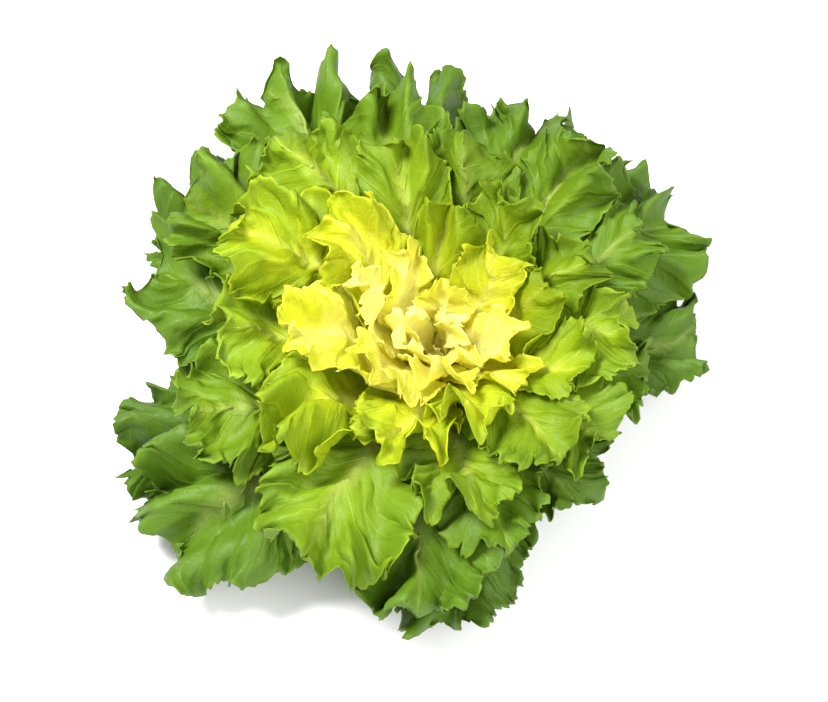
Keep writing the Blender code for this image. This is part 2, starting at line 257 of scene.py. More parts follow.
class Leaf:
    """One leaf: its place in the spiral, its outline and its ruffles, with the draws of the solids."""

    def __init__(self, number, settings, veins):
        draw = np.random.default_rng(SEED * 1000 + number)
        self.number = number
        self.settings = settings
        self.veins = veins
        self.age = number / (LEAF_COUNT - 1)
        self.azimuth = FIRST_AZIMUTH + number * GOLDEN_ANGLE + AZIMUTH_SPREAD * draw.uniform(-1, 1)
        self.length = leaf_length(self.age) * draw.uniform(0.86, 1.08)
        self.length *= between(1.0, reach(self.azimuth), self.age)
        self.width = self.length * between(0.26, 0.29, self.age) * draw.uniform(0.90, 1.10)
        self.root_width = between(0.004, 0.011, self.age)
        self.neck_width = between(0.003, 0.009, self.age)
        self.neck = 0.2 * self.length
        self.widest = draw.uniform(0.62, 0.74) * self.length
        self.sway = draw.uniform(-0.14, 0.14)
        self.waves = between(6.5, 11.0, self.age) * draw.uniform(0.9, 1.1)
        self.ruffling = draw.uniform(0.7, 1.2)
        self.wave_phase = draw.uniform(0, 2 * math.pi)
        self.drift = draw.uniform(0.3, 0.9, 3)
        self.drift_phase = draw.uniform(0, 2 * math.pi, 3)
        self.cup = draw.uniform(-0.45, 0.45)
        self.curl = draw.uniform(-0.5, 0.5)
        self.lobe_depth = self.length * draw.uniform(0.05, 0.09)
        self.lobe_phase = draw.uniform(0, 2 * math.pi)
        fine = np.random.default_rng(FINE_SEED + number)
        self.tint = fine.uniform(-1.0, 1.0)
        self.phases = fine.uniform(0, 2 * math.pi, 8)
        self.tooth_sizes = fine.uniform(0.1, 1.0, TOOTH_SIZES)

    def half_width(self, along):
        """Half the blade's width at a distance from the root."""
        neck = between(self.root_width, self.neck_width, along / self.neck)
        span = np.where(along > self.widest, self.length - self.widest, self.widest - self.neck)
        oval = np.sqrt(np.clip(1.0 - ((along - self.widest) / span) ** 2, 0.0, 1.0))
        blade = self.width * oval ** np.where(along > self.widest, TIP_BLUNTNESS, 0.8)
        return np.where(along > self.neck, np.maximum(neck, blade), neck)

    def margin(self, turn):
        """Flat place of the margin (across, along). Turn runs from -1, left root, over 0, the tip, to 1."""
        side = np.sign(turn)
        share = 1.0 - np.abs(turn)
        petiole = share / NECK_SHARE
        swing = math.pi * np.clip((share - NECK_SHARE) / (1.0 - NECK_SHARE), 0.0, 1.0) - math.pi / 2
        span = np.where(swing > 0, self.length - self.widest, self.widest - self.neck)
        blade_along = self.widest + span * np.sin(swing)
        roundness = np.where(swing > 0, TIP_BLUNTNESS, 0.8)
        blade_across = self.neck_width * (1 - np.sin(swing)) / 2 + self.width * np.cos(swing) ** roundness
        along = np.where(share < NECK_SHARE, self.neck * petiole, blade_along)
        petiole_across = between(self.root_width, self.neck_width, petiole)
        across = np.where(share < NECK_SHARE, petiole_across, blade_across)
        return side * across, along

    def vein_start(self, turn):
        """How far up the midrib the side vein to this place of the margin leaves it."""
        share = 1.0 - np.abs(turn)
        petiole = self.neck * share / NECK_SHARE
        blade_share = np.clip((share - NECK_SHARE) / (1.0 - NECK_SHARE), 0.0, 1.0)
        blade = between(self.neck, LAST_VEIN * self.length, blade_share, 1.6)
        return np.where(share < NECK_SHARE, petiole, blade)

    def wave(self, turn):
        """Where a place of the margin is in its ruffles, as an angle, and how strong they are."""
        blade = np.clip((1.0 - np.abs(turn) - NECK_SHARE) / 0.15, 0.0, 1.0)
        drift = sum(
            amount * np.sin((k + 1.3) * 2.1 * turn + phase)
            for k, (amount, phase) in enumerate(zip(self.drift, self.drift_phase))
        )
        return self.waves * math.pi * turn + self.wave_phase + drift, blade * self.ruffling

    def lobes(self, turn):
        """How far the margin is cut in."""
        wave, _ = self.wave(turn)
        share = 1.0 - np.abs(turn)
        blade = np.clip((share - NECK_SHARE) / 0.1, 0.0, 1.0)
        cut = 0.5 + 0.5 * np.sin(wave + self.lobe_phase)
        return blade * self.lobe_depth * cut ** 2

    def saw(self, run, sharpness):
        """Notches of uneven size, one for each whole number that run passes, steep on the root's side."""
        notch = np.floor(run)
        share = run - notch
        size = self.tooth_sizes[notch.astype(int) % len(self.tooth_sizes)]
        return size * np.minimum(share / sharpness, (1.0 - share) / (1.0 - sharpness))

    def scallops(self, run):
        """Narrow notches of uneven depth at the whole numbers that run passes, and round lobes between."""
        size = self.tooth_sizes[np.round(run).astype(int) % len(self.tooth_sizes)]
        return size * (1.0 - np.abs(np.sin(math.pi * run)) ** 0.5)

    def teeth(self, turn):
        """How far the fine teeth and the wider notches between them cut in."""
        blade = np.clip((1.0 - np.abs(turn) - NECK_SHARE) / 0.08, 0.0, 1.0)
        margin = 1.25 * self.length * np.abs(turn) + 1.0
        side = np.where(turn < 0, 100.0, 0.0)
        drift = 0.25 * np.sin(40.0 * turn + self.phases[0]) + 0.30 * np.sin(23.0 * turn + self.phases[1])
        small = self.saw(margin / self.settings.tooth_width + drift + side, 0.25)
        wide = self.scallops(margin / (3.1 * self.settings.tooth_width) + 0.7 * drift + side + 7.0)
        size = (self.length / OUTER_LENGTH) ** 0.5
        return blade * size * self.settings.tooth_depth * (1.1 * small + 1.9 * wide)

    def small_ruffles(self, wave, small_wave):
        """Second ruffles between the large ones, from -1 to 1."""
        second, third, fourth = self.phases[3:6]
        finer = np.sin(4.7 * wave + second + 1.5 * np.sin(1.3 * wave + third))
        return np.sin(small_wave) * (0.65 + 0.35 * np.sin(0.37 * wave + fourth)) + 0.35 * finer

    def sheet(self, turn, out):
        """Points of the leaf's middle sheet in the head, and what its finish reads there."""
        wave, strength = self.wave(turn)
        fold = FOLDING * strength * out ** 2 * np.sin(2.0 * wave) / (2.0 * math.pi * self.waves)
        small_wave = SMALL_WAVES * wave + self.phases[2] + 1.2 * np.sin(0.7 * wave)
        small_fold = SMALL_FOLDING * strength * out ** 3 * np.sin(2.0 * small_wave)
        fold = fold + small_fold / (2.0 * SMALL_WAVES * math.pi * self.waves)
        flat_turn = np.clip(turn - fold, -1.0, 1.0)
        across, along = self.margin(flat_turn)
        start = self.vein_start(flat_turn)
        vein = np.maximum(np.hypot(across, along - start), SHORTEST_VEIN)
        lobes = DEEPEST_LOBE * np.tanh(0.7 * self.lobes(flat_turn) / vein / DEEPEST_LOBE)
        teeth = DEEPEST_TOOTH * np.tanh(self.teeth(flat_turn) / vein / DEEPEST_TOOTH)
        tip = TIP_CUT * np.exp(-((flat_turn / TIP_CUT_SPREAD) ** 2))
        cut = 1.0 - lobes * out ** 2 - teeth * out ** 3 - tip * out
        across = across * out * cut
        along = start + (along - start) * out * cut
        age = np.full_like(across, self.age)
        radius = np.maximum(shell_point(age, self.azimuth, along)[0], SMALLEST_RADIUS)
        turned = WIDEST_WRAP * np.tanh(across / radius / WIDEST_WRAP)
        wrap = WIDEST_WRAP * np.tanh(self.half_width(0.88 * along) / radius / WIDEST_WRAP)
        azimuth = self.azimuth + turned + self.sway * (along / self.length) ** 2
        steps = np.minimum(MOST_STEPS, NEIGHBOUR_ANGLE / np.maximum(wrap + np.abs(turned), 0.05))
        apart = spacing(age, azimuth, along)
        room = np.maximum(steps * apart - SOLID_THICKNESS / 2 - LEAF_GAP, 0.0)
        share = along / self.length
        bend = self.cup * (out ** 2 - 0.3) * np.clip(share * 3 - 0.6, 0, 1) + self.curl * share ** 3 * 0.7
        own = between(0.9, 0.62, self.age) * room * np.tanh(1.5 * strength * out ** 1.2 * np.sin(wave) + bend)
        small = self.settings.ruffle_height * out ** 3 * strength * self.small_ruffles(wave, small_wave)
        run = self.vein_run(turn)
        panel = np.abs(np.sin(math.pi * run)) - 0.6
        quilt = self.settings.quilt_height * panel * np.clip(3.0 * out, 0, 1) * (1.0 - 0.4 * out)
        freedom = 0.5 + 0.5 * np.minimum(1.0, room / 0.006)
        size = (self.length / OUTER_LENGTH) ** 0.6 * between(0.45, 1.0, 2.5 * self.age)
        lift = shared_ruffle(age, azimuth, along) + own + (small + quilt) * freedom * size
        flat = np.stack([across, along, np.full_like(across, self.number)], axis=-1)
        return place(age, azimuth, ROOT_GAP + along, lift), flat, run

    def vein_run(self, turn):
        """Counts side veins along the margin: a whole number at each of them."""
        return turn * self.veins

    def ripeness(self, turn, out):
        """How far towards the dark green of the outside a place of the leaf is coloured."""
        share = 1.0 - np.abs(turn)
        # Shifts the colour by the leaf's side of the head: greener at the back and on the right, a little in
        # front, yellower on the left; most round the heart.
        side = 0.045 + 0.085 * math.cos(self.azimuth) + 0.06 * math.sin(self.azimuth)
        side -= 0.04 * math.cos(2.0 * self.azimuth)
        side_shift = 1.7 * side * min(1.0, 5.5 * self.age) * (1.0 - self.age)
        return self.age + 0.16 * (out * (0.3 + 0.7 * share) - 0.75) + 0.05 * self.tint + side_shift


def leaf_grid(rays, rows):
    """Turns and shares out for every vertex, the triangles of one sheet and its vertex numbers."""
    half = rays // 2
    blade = 1.0 - NECK_SHARE
    petiole = np.linspace(-1.0, -blade, PETIOLE_RAYS + 1)[:-1]
    middle = np.linspace(-blade, blade, rays - 2 * PETIOLE_RAYS + 1)
    turns = np.concatenate([petiole, middle, -petiole[::-1]])
    vertex = np.zeros((rays + 1, len(rows)), dtype=int)
    places = []
    for row, out in enumerate(rows):
        for ray in range(rays + 1):
            if row == 0 and ray > half:
                vertex[ray, row] = vertex[rays - ray, row]
                continue
            vertex[ray, row] = len(places)
            places.append((turns[ray], out))
    a, b = vertex[:-1, :-1].ravel(), vertex[1:, :-1].ravel()
    c, d = vertex[1:, 1:].ravel(), vertex[:-1, 1:].ravel()
    # Known fault: at the spine's end the first triangles of both sides have the same corners, so the
    # blade isn't closed there. The other diagonal in these two cells would close it.
    left = np.repeat(np.arange(rays) < half, len(rows) - 1)[:, None]
    first = np.where(left, np.stack([a, b, c], axis=1), np.stack([a, b, d], axis=1))
    second = np.where(left, np.stack([a, c, d], axis=1), np.stack([b, c, d], axis=1))
    triangles = np.concatenate([first, second])
    whole = (triangles[:, 0] != triangles[:, 1]) & (triangles[:, 1] != triangles[:, 2])
    whole &= triangles[:, 0] != triangles[:, 2]
    return np.array(places), triangles[whole], vertex


class Term:
    """A socket of a material's tree, with arithmetic that adds the nodes."""

    def __init__(self, finish, socket):
        self.finish = finish
        self.socket = socket

    def maths(self, operation, *others):
        return self.finish.node(
            "ShaderNodeMath", {"operation": operation}, dict(enumerate((self, *others)))
        )

    def __add__(self, other):
        return self.maths("ADD", other)

    def __radd__(self, other):
        return self.maths("ADD", other)

    def __mul__(self, other):
        return self.maths("MULTIPLY", other)

    def __rmul__(self, other):
        return self.maths("MULTIPLY", other)

    def __sub__(self, other):
        return self.maths("SUBTRACT", other)

    def __rsub__(self, other):
        return self.maths("MULTIPLY_ADD", -1.0, other)

    def clipped(self, low, high):
        """0 at low, 1 at high, and a smooth run between."""
        return self.finish.node(
            "ShaderNodeMapRange",
            {"interpolation_type": "SMOOTHSTEP"},
            {"Value": self, "From Min": low, "From Max": high},
        )


class Finish:
    """A material as it is put together."""

    def __init__(self, name):
        self.material = bpy.data.materials.new(name)
        self.material.use_nodes = True
        self.tree = self.material.node_tree
        self.tree.nodes.clear()

    def node(self, kind, settings=None, sockets=None, output=0):
        """Adds a node: its settings first, then the values or links of its sockets."""
        made = self.tree.nodes.new(kind)
        for key, value in (settings or {}).items():
            if key == "stops":
                while len(made.color_ramp.elements) < len(value):
                    made.color_ramp.elements.new(0.5)
                for element, (position, colour) in zip(made.color_ramp.elements, value):
                    element.position = position
                    element.color = (*colour, 1.0)
            else:
                setattr(made, key, value)
        for key, value in (sockets or {}).items():
            if isinstance(value, Term):
                self.tree.links.new(value.socket, made.inputs[key])
            else:
                made.inputs[key].default_value = value
        return Term(self, made.outputs[output])

    def attribute(self, name, output="Fac"):
        return self.node("ShaderNodeAttribute", {"attribute_name": name}, output=output)

    def noise(self, vector, scale, detail=2.0, roughness=0.5):
        return self.node(
            "ShaderNodeTexNoise",
            {"noise_dimensions": "3D"},
            {"Vector": vector, "Scale": scale, "Detail": detail, "Roughness": roughness},
        )

    def blend(self, factor, first, second, kind="MIX"):
        """One colour over another."""
        settings = {"data_type": "RGBA", "blend_type": kind, "clamp_factor": True}
        first = first if isinstance(first, Term) else (*first, 1.0)
        second = second if isinstance(second, Term) else (*second, 1.0)
        return self.node("ShaderNodeMix", settings, {0: factor, 6: first, 7: second}, output=2)

    def put_out(self, shader):
        result = self.tree.nodes.new("ShaderNodeOutputMaterial")
        self.tree.links.new(shader.socket, result.inputs["Surface"])
        return self.material


def leaf_finish(name, colours, roughness, see_through):
    """Green that deepens outwards, pale ribs, a net of fine veins, a satin skin and light through it."""
    finish = Finish(name)
    ripeness = finish.attribute("ripeness")
    flat = finish.attribute("flat", "Vector")
    run = finish.attribute("run")
    out = finish.attribute("out")
    under = finish.attribute("under")
    midrib = finish.attribute("midrib")

    patches = finish.noise(flat, PATCH_SCALE, 2.0)
    small_patches = finish.noise(flat, SMALL_PATCH_SCALE, 3.0, 0.6)
    level = ripeness + (patches - 0.5) * 0.20 + (small_patches - 0.5) * 0.08
    blade = finish.node("ShaderNodeValToRGB", {"stops": colours.stops()}, {"Fac": level})
    lighter = finish.node("ShaderNodeValToRGB", {"stops": colours.stops()}, {"Fac": level - 0.10})

    wander = (patches - 0.5) * 0.25
    off_vein = ((run + 0.5).maths("FRACT") - 0.5).maths("ABSOLUTE")
    side_vein = off_vein.clipped(0.06, 0.0)
    off_branch = ((run * 3.0 + wander).maths("FRACT") - 0.5).maths("ABSOLUTE")
    branch = off_branch.clipped(0.40, 0.49) * out.clipped(0.2, 0.45)
    net = finish.node(
        "ShaderNodeTexVoronoi", {"feature": "DISTANCE_TO_EDGE"}, {"Vector": flat, "Scale": VEIN_NET_SCALE}
    ).clipped(0.10, 0.0)
    veins = side_vein.maths("MAXIMUM", branch * 0.6).maths("MAXIMUM", net * 0.25)

    shading = (1.0 - patches) * (ripeness * 2.0 + 0.1).clipped(0.0, 1.0)
    dark = finish.blend(shading, blade, tuple(colours.shade), "MULTIPLY")
    # Painted shade: the heart's leaves are darkened to golden olive towards their roots, deep in the heart
    # where shade falls.
    dark = finish.blend(finish.attribute("deep"), dark, tuple(colours.hollow_shade), "MULTIPLY")
    pale = finish.blend(0.45, lighter, tuple(colours.rib))
    veined = finish.blend(veins * 0.45, dark, lighter)
    ribbed = finish.blend(midrib * 0.70, veined, pale)
    paler = finish.blend(under * 0.55, ribbed, lighter)
    rim = finish.blend(out.clipped(0.90, 1.0) * 0.65, paler, lighter)

    sheen = roughness + (small_patches - 0.5) * 0.25
    grain = finish.noise(flat, SKIN_GRAIN_SCALE, 2.0)
    relief = veins * 0.55 + midrib * 0.4 + small_patches * 0.9 + grain * 0.35
    bump = finish.node("ShaderNodeBump", None, {"Strength": 0.55, "Distance": 0.0009, "Height": relief})
    skin = finish.node(
        "ShaderNodeBsdfPrincipled",
        None,
        {"Base Color": rim, "Roughness": sheen, "Normal": bump, "Specular IOR Level": 0.30},
    )
    # Known fault: this colour changes over the blade, and feeds a socket that isn't baked
    glow = finish.blend(1.0, rim, (1.0, 1.0, 0.6), "MULTIPLY")
    light_through = finish.node("ShaderNodeBsdfTranslucent", None, {"Color": glow, "Normal": bump})
    whole = finish.node("ShaderNodeMixShader", None, {0: see_through, 1: skin, 2: light_through})
    return finish.put_out(whole)


def stem_finish(colours):
    """Pale flesh with rings of fibre on the cut, browned at its rim, and greenish sides."""
    finish = Finish("stem")
    place_in = finish.node("ShaderNodeTexCoord", output="Object")
    x, y, z = (finish.node("ShaderNodeSeparateXYZ", None, {0: place_in}, output=k) for k in range(3))
    radius = (x * x + y * y).maths("SQRT")
    grain = finish.noise(place_in, STEM_GRAIN_SCALE, 4.0, 0.6)
    fibres = (radius * STEM_RING_RATE + grain * 3.0).maths("SINE") * 0.5 + 0.5
    rings = fibres * radius.clipped(0.004, 0.012)
    bundles = finish.node(
        "ShaderNodeTexVoronoi", {"feature": "F1"}, {"Vector": place_in, "Scale": STEM_BUNDLE_SCALE}
    )
    dots = bundles.clipped(0.35, 0.12) * radius.clipped(0.006, 0.010)
    on_cut = z.clipped(0.0016, 0.0002)
    browning = radius.clipped(0.010, 0.0185) * on_cut
    side = finish.blend(z.clipped(0.004, 0.022), tuple(colours.flesh), tuple(colours.side))
    side = finish.blend(z.clipped(0.022, 0.032), side, tuple(colours.crown))
    fibred = finish.blend(rings * on_cut * 0.35 + dots * on_cut * 0.4, side, tuple(colours.fibre))
    browned = finish.blend(browning * (grain * 0.9 + 0.3), fibred, tuple(colours.browning))
    height = grain * 0.6 + rings * 0.3
    bump = finish.node("ShaderNodeBump", None, {"Strength": 0.5, "Distance": 0.0006, "Height": height})
    skin = finish.node(
        "ShaderNodeBsdfPrincipled",
        None,
        {"Base Color": browned, "Roughness": 0.45 + grain * 0.2, "Normal": bump},
    )
    return finish.put_out(skin)


class Tree:
    """A geometry node tree as it is put together."""

    def __init__(self, name, inputs):
        self.tree = bpy.data.node_groups.new(name, "GeometryNodeTree")
        face = self.tree.interface
        face.new_socket("Geometry", in_out="INPUT", socket_type="NodeSocketGeometry")
        face.new_socket("Geometry", in_out="OUTPUT", socket_type="NodeSocketGeometry")
        for label, kind in inputs:
            face.new_socket(label, in_out="INPUT", socket_type=kind)
        self.given = self.tree.nodes.new("NodeGroupInput")
        self.result = self.tree.nodes.new("NodeGroupOutput")

    def node(self, kind, settings=None, sockets=None):
        """Adds a node: its settings first, then the values or links of its sockets."""
        made = self.tree.nodes.new(kind)
        for key, value in (settings or {}).items():
            setattr(made, key, value)
        for key, value in (sockets or {}).items():
            for each in value if isinstance(value, list) else [value]:
                if isinstance(each, bpy.types.NodeSocket):
                    self.tree.links.new(each, made.inputs[key])
                else:
                    made.inputs[key].default_value = each
        return made

    def maths(self, operation, first, second):
        return self.node("ShaderNodeMath", {"operation": operation}, {0: first, 1: second}).outputs[0]

    def scaled(self, vector, amount):
        made = self.node("ShaderNodeVectorMath", {"operation": "SCALE"}, {0: vector, "Scale": amount})
        return made.outputs[0]

    def named(self, name, kind="FLOAT"):
        return self.node("GeometryNodeInputNamedAttribute", {"data_type": kind}, {"Name": name}).outputs[0]


def pushed(tree, geometry, height, size, detail):
    """Pushes a sheet about by noise that all leaves share, and less towards a leaf's root."""
    given = tree.given.outputs
    spot = tree.node("GeometryNodeInputPosition").outputs[0]
    rate = tree.maths("DIVIDE", 1.0, given[size])
    noise = tree.node(
        "ShaderNodeTexNoise",
        {"noise_dimensions": "4D"},
        {"Vector": spot, "W": given["Seed"], "Scale": rate, "Detail": detail, "Roughness": 0.5},
    )
    centred = tree.node(
        "ShaderNodeVectorMath",
        {"operation": "SUBTRACT"},
        {0: noise.outputs["Color"], 1: (0.5, 0.5, 0.5)},
    )
    amount = tree.maths("MULTIPLY", given[height], tree.named("loose"))
    push = tree.scaled(centred.outputs[0], tree.maths("MULTIPLY", amount, NOISE_GAIN))
    return tree.node("GeometryNodeSetPosition", None, {"Geometry": geometry, "Offset": push}).outputs[0]


def blade_tree():
    """Crumples a leaf's sheet, gives it thickness, and lays its ribs along the sheet's own edges."""
    tree = Tree(
        "Leaf blade",
        (
            ("Crumple Height", "NodeSocketFloat"),
            ("Crumple Size", "NodeSocketFloat"),
            ("Buckle Height", "NodeSocketFloat"),
            ("Buckle Size", "NodeSocketFloat"),
            ("Blade Thickness", "NodeSocketFloat"),
            ("Seed", "NodeSocketFloat"),
            ("Material", "NodeSocketMaterial"),
        ),
    )
    given = tree.given.outputs
    crumpled = pushed(tree, given["Geometry"], "Crumple Height", "Crumple Size", 1.5)
    crumpled = pushed(tree, crumpled, "Buckle Height", "Buckle Size", 0.0)

    normal = tree.node("GeometryNodeInputNormal").outputs[0]
    half = tree.maths("MULTIPLY", given["Blade Thickness"], 0.5)
    lowered = tree.node(
        "GeometryNodeSetPosition",
        None,
        {"Geometry": crumpled, "Offset": tree.scaled(normal, tree.maths("MULTIPLY", half, -1.0))},
    ).outputs[0]
    raised = tree.node(
        "GeometryNodeExtrudeMesh",
        {"mode": "FACES"},
        {"Mesh": lowered, "Offset Scale": given["Blade Thickness"], "Individual": False},
    ).outputs[0]
    below = tree.node("GeometryNodeFlipFaces", None, {"Mesh": lowered}).outputs[0]
    below = tree.node(
        "GeometryNodeStoreNamedAttribute",
        {"data_type": "FLOAT", "domain": "POINT"},
        {"Geometry": below, "Name": "under", "Value": 1.0},
    ).outputs[0]
    blade = tree.node("GeometryNodeJoinGeometry", None, {"Geometry": [raised, below]}).outputs[0]
    blade = tree.node(
        "GeometryNodeMergeByDistance", None, {"Geometry": blade, "Distance": MERGE_DISTANCE}
    ).outputs[0]

    ribs = []
    sunk = tree.scaled(normal, tree.maths("MULTIPLY", tree.named("rib_radius"), -SUNK_SHARE))
    bedded = tree.node(
        "GeometryNodeSetPosition", None, {"Geometry": crumpled, "Offset": sunk}
    ).outputs[0]
    for edges, sides in RIB_SIDES.items():
        path = tree.node(
            "GeometryNodeMeshToCurve", None, {"Mesh": bedded, "Selection": tree.named(edges, "BOOLEAN")}
        ).outputs[0]
        section = tree.node(
            "GeometryNodeCurvePrimitiveCircle", {"mode": "RADIUS"}, {"Resolution": sides, "Radius": 1.0}
        ).outputs[0]
        ribs.append(
            tree.node(
                "GeometryNodeCurveToMesh",
                None,
                {
                    "Curve": path,
                    "Profile Curve": section,
                    "Scale": tree.named("rib_radius"),
                    "Fill Caps": True,
                },
            ).outputs[0]
        )
    whole = tree.node("GeometryNodeJoinGeometry", None, {"Geometry": [blade, *ribs]}).outputs[0]
    smooth = tree.node("GeometryNodeSetShadeSmooth", None, {"Geometry": whole}).outputs[0]
    real = tree.node("GeometryNodeRealizeInstances", None, {"Geometry": smooth}).outputs[0]
    painted = tree.node(
        "GeometryNodeSetMaterial", None, {"Geometry": real, "Material": given["Material"]}
    ).outputs[0]
    tree.tree.links.new(painted, tree.result.inputs[0])
    return tree.tree


def apply_tree(obj, tree, values):
    """Runs a tree on an object once, and leaves a plain mesh."""
    modifier = obj.modifiers.new(tree.name, "NODES")
    modifier.node_group = tree
    sockets = {item.name: item.identifier for item in tree.interface.items_tree if item.in_out == "INPUT"}
    for label, value in values.items():
        modifier[sockets[label]] = value
    graph = bpy.context.evaluated_depsgraph_get()
    made = bpy.data.meshes.new_from_object(obj.evaluated_get(graph))
    obj.modifiers.remove(modifier)
    old = obj.data
    obj.data = made
    bpy.data.meshes.remove(old)
    made.name = obj.name


def store(mesh, name, values, kind="FLOAT", domain="POINT"):
    layer = mesh.attributes.new(name, kind, domain)
    key = "vector" if kind == "FLOAT_VECTOR" else "value"
    layer.data.foreach_set(key, np.ascontiguousarray(values).ravel())


def leaf_sheet(name, leaf, rays, rows):
    """A leaf's middle sheet as a mesh, with what its finish and its ribs need on it."""
    shares = 1.0 - (1.0 - np.linspace(0.0, 1.0, rows)) ** ROW_CROWDING
    places, triangles, vertex = leaf_grid(rays, shares)
    turn, out = places[:, 0], places[:, 1]
    points, flat, run = leaf.sheet(turn, out)
    mesh = bpy.data.meshes.new(name)
    mesh.from_pydata(points, [], triangles[:, ::-1])
    mesh.update(calc_edges=True)

    share = flat[:, 1] / leaf.length
    size = leaf.length / OUTER_LENGTH
    across = np.abs(flat[:, 0])
    rib_width = between(1.0, 0.12, share, 0.8) * between(0.0022, 0.0052, leaf.age)
    midrib = np.clip(1.25 - across / rib_width, 0.0, 1.0) * np.clip(1.6 - 1.5 * share, 0.0, 1.0)
    side_radius = SIDE_RIB_RADIUS * (1.0 - 0.85 * out) * (0.6 + 0.4 * size)
    spine_radius = (MIDRIB_RADIUS * (1.0 - share) ** 1.2 + MIDRIB_TIP_RADIUS) * (0.35 + 0.65 * size)
    radius = np.where(out == 0.0, spine_radius, side_radius)
    store(mesh, "ripeness", leaf.ripeness(turn, out))
    store(mesh, "flat", flat + np.array([0.0, 0.0, 0.05 * leaf.number]), "FLOAT_VECTOR")
    store(mesh, "run", run)
    store(mesh, "out", out)
    store(mesh, "midrib", midrib)
    # Painted shade: 1 at the roots of the heart's leaves, deep in the heart, fading out along the leaf and
    # towards the outer leaves.
    store(mesh, "deep", np.clip(1.1 - 1.7 * share, 0.0, 1.0) * np.clip(1.25 - 2.6 * leaf.age, 0.0, 1.0))
    store(mesh, "rib_radius", radius)
    store(mesh, "loose", np.clip(share * 2.5 - 0.3, 0.0, 1.0))

    half = rays // 2
    edges = np.zeros(len(mesh.edges) * 2, dtype=np.int32)
    mesh.edges.foreach_get("vertices", edges)
    edges = np.sort(edges.reshape(-1, 2), axis=1)
    codes = edges[:, 0].astype(np.int64) * len(points) + edges[:, 1]

    def marked(first, second):
        pair = np.sort(np.stack([first, second], axis=1), axis=1)
        return np.isin(codes, pair[:, 0].astype(np.int64) * len(points) + pair[:, 1])

    spine = vertex[: half + 1, 0]
    steps = range(2 - leaf.veins, leaf.veins - 1)
    vein_rays = [int(round(half + half * step / leaf.veins)) for step in steps]
    last = len(shares) - 2
    firsts = np.concatenate([vertex[ray, 0:last] for ray in vein_rays])
    seconds = np.concatenate([vertex[ray, 1:last + 1] for ray in vein_rays])
    store(mesh, "midrib_edge", marked(spine[:-1], spine[1:]), "BOOLEAN", "EDGE")
    store(mesh, "vein_edge", marked(firsts, seconds), "BOOLEAN", "EDGE")
    return mesh


def length_property(name, description, default, low, high):
    return bpy.props.FloatProperty(
        name=name, description=description, default=default, min=low, max=high,
        precision=4, subtype="DISTANCE", unit="LENGTH",
    )


class LeafSizes(bpy.types.PropertyGroup):
    """Sizes of a leaf's detail."""

    blade_thickness: length_property(
        "Blade thickness", "Thickness of a leaf between its veins", 0.0005, 0.0002, 0.0015
    )
    tooth_depth: length_property(
        "Tooth depth", "How deep the largest fine teeth of the margin are", 0.0034, 0.0, 0.006
    )
    tooth_width: length_property(
        "Tooth width", "Distance from one fine tooth to the next", 0.0042, 0.001, 0.02
    )
    ruffle_height: length_property(
        "Small ruffles", "Height of the ruffles between a leaf's large ones", 0.0065, 0.0, 0.02
    )
    quilt_height: length_property(
        "Quilting", "How far the blade stands up between two side veins", 0.0020, 0.0, 0.006
    )
    crumple_height: length_property(
        "Crumple height", "Height of the crumples of the whole head", 0.0022, 0.0, 0.005
    )
    crumple_size: length_property(
        "Crumple size", "Width of the crumples of the whole head", 0.011, 0.004, 0.05
    )
    buckle_height: length_property(
        "Buckle height", "Height of the wider buckles of the whole head", 0.0045, 0.0, 0.01
    )
    buckle_size: length_property(
        "Buckle size", "Width of the wider buckles of the whole head", 0.034, 0.01, 0.1
    )
    roughness: bpy.props.FloatProperty(
        name="Roughness", description="How matt the leaves' skin is",
        default=0.52, min=0.1, max=1.0, subtype="FACTOR",
    )


def colour_property(name, description, default):
    return bpy.props.FloatVectorProperty(
        name=name, description=description, default=default, size=3, min=0.0, max=1.0, subtype="COLOR"
    )


class LeafColours(bpy.types.PropertyGroup):
    """Colours of the leaves from the heart outwards."""

    cream: colour_property("Cream", "Blanched leaves in the middle of the heart", (1.0, 0.97, 0.44))
    yellow: colour_property("Yellow", "Leaves of the heart", (0.97, 0.91, 0.20))
    straw: colour_property("Straw", "Leaves at the edge of the heart", (0.74, 0.75, 0.020))
    lime: colour_property("Lime", "Leaves round the heart", (0.37, 0.49, 0.010))
    light: colour_property("Light green", "Inner leaves", (0.220, 0.345, 0.011))
    green: colour_property("Green", "Middle leaves", (0.128, 0.238, 0.010))
    deep: colour_property("Deep green", "Outer leaves", (0.093, 0.184, 0.010))
    darkest: colour_property("Darkest green", "Ends of the outermost leaves", (0.084, 0.166, 0.010))
    shade: colour_property("Shade", "Tint of the darker patches", (0.74, 0.80, 0.55))
    # Painted shade: the golden olive that the roots of the heart's leaves are darkened to, deep in the heart.
    hollow_shade: colour_property("Hollow", "Tint of the heart's leaves towards their root", (0.90, 0.86, 0.36))
    rib: colour_property("Ribs", "Midribs and veins", (0.82, 0.86, 0.30))

    def stops(self):
        places = (0.0, 0.10, 0.22, 0.36, 0.50, 0.68, 0.86, 1.0)
        names = ("cream", "yellow", "straw", "lime", "light", "green", "deep", "darkest")
        return [(place, tuple(getattr(self, name))) for place, name in zip(places, names)]


class StemColours(bpy.types.PropertyGroup):
    """Colours of the cut stem."""

    flesh: colour_property("Flesh", "The cut face and the stem's foot", (0.82, 0.80, 0.60))
    side: colour_property("Side", "The stem's side, above the cut", (0.72, 0.78, 0.44))
    crown: colour_property("Crown", "The stem's top, between the smallest leaves", (0.80, 0.74, 0.20))
    fibre: colour_property("Fibre", "Rings and bundles in the cut face", (0.52, 0.50, 0.28))
    browning: colour_property("Browning", "Dried rim of the cut", (0.36, 0.20, 0.09))


